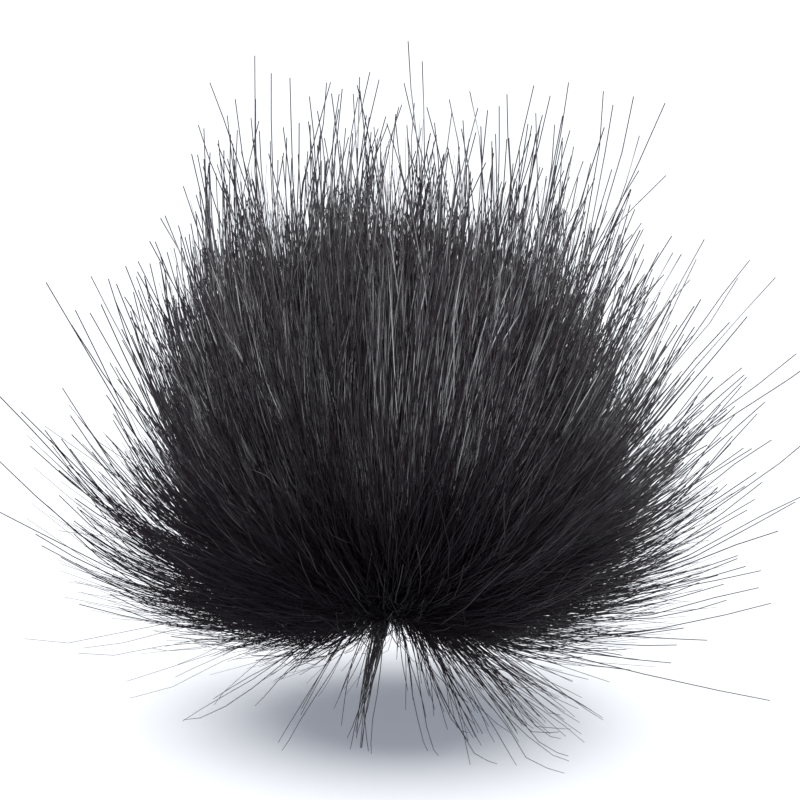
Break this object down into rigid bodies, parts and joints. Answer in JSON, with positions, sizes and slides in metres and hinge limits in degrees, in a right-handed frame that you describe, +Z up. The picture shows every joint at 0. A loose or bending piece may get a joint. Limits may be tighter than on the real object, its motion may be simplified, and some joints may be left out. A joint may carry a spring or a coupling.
{
  "type": "pom pom",
  "caption": "Black long-hair faux fur pom pom: a ball of pile fanning out from a gathered sewing face on its lower front, standing on its low tufts.",
  "frame": {"origin": "on the floor, under the middle of the bounding box", "axes": "+Z up, +X to the right, -Y towards the viewer, where the gather shows"},
  "size_m": [0.144, 0.126, 0.125],
  "materials": {
    "fur": "long-pile faux fur, near black with a faint violet tint and a soft cool sheen along the hairs"
  },
  "bodies": {
    "root": {"fur_ball": "fur"}
  },
  "joints": []
}
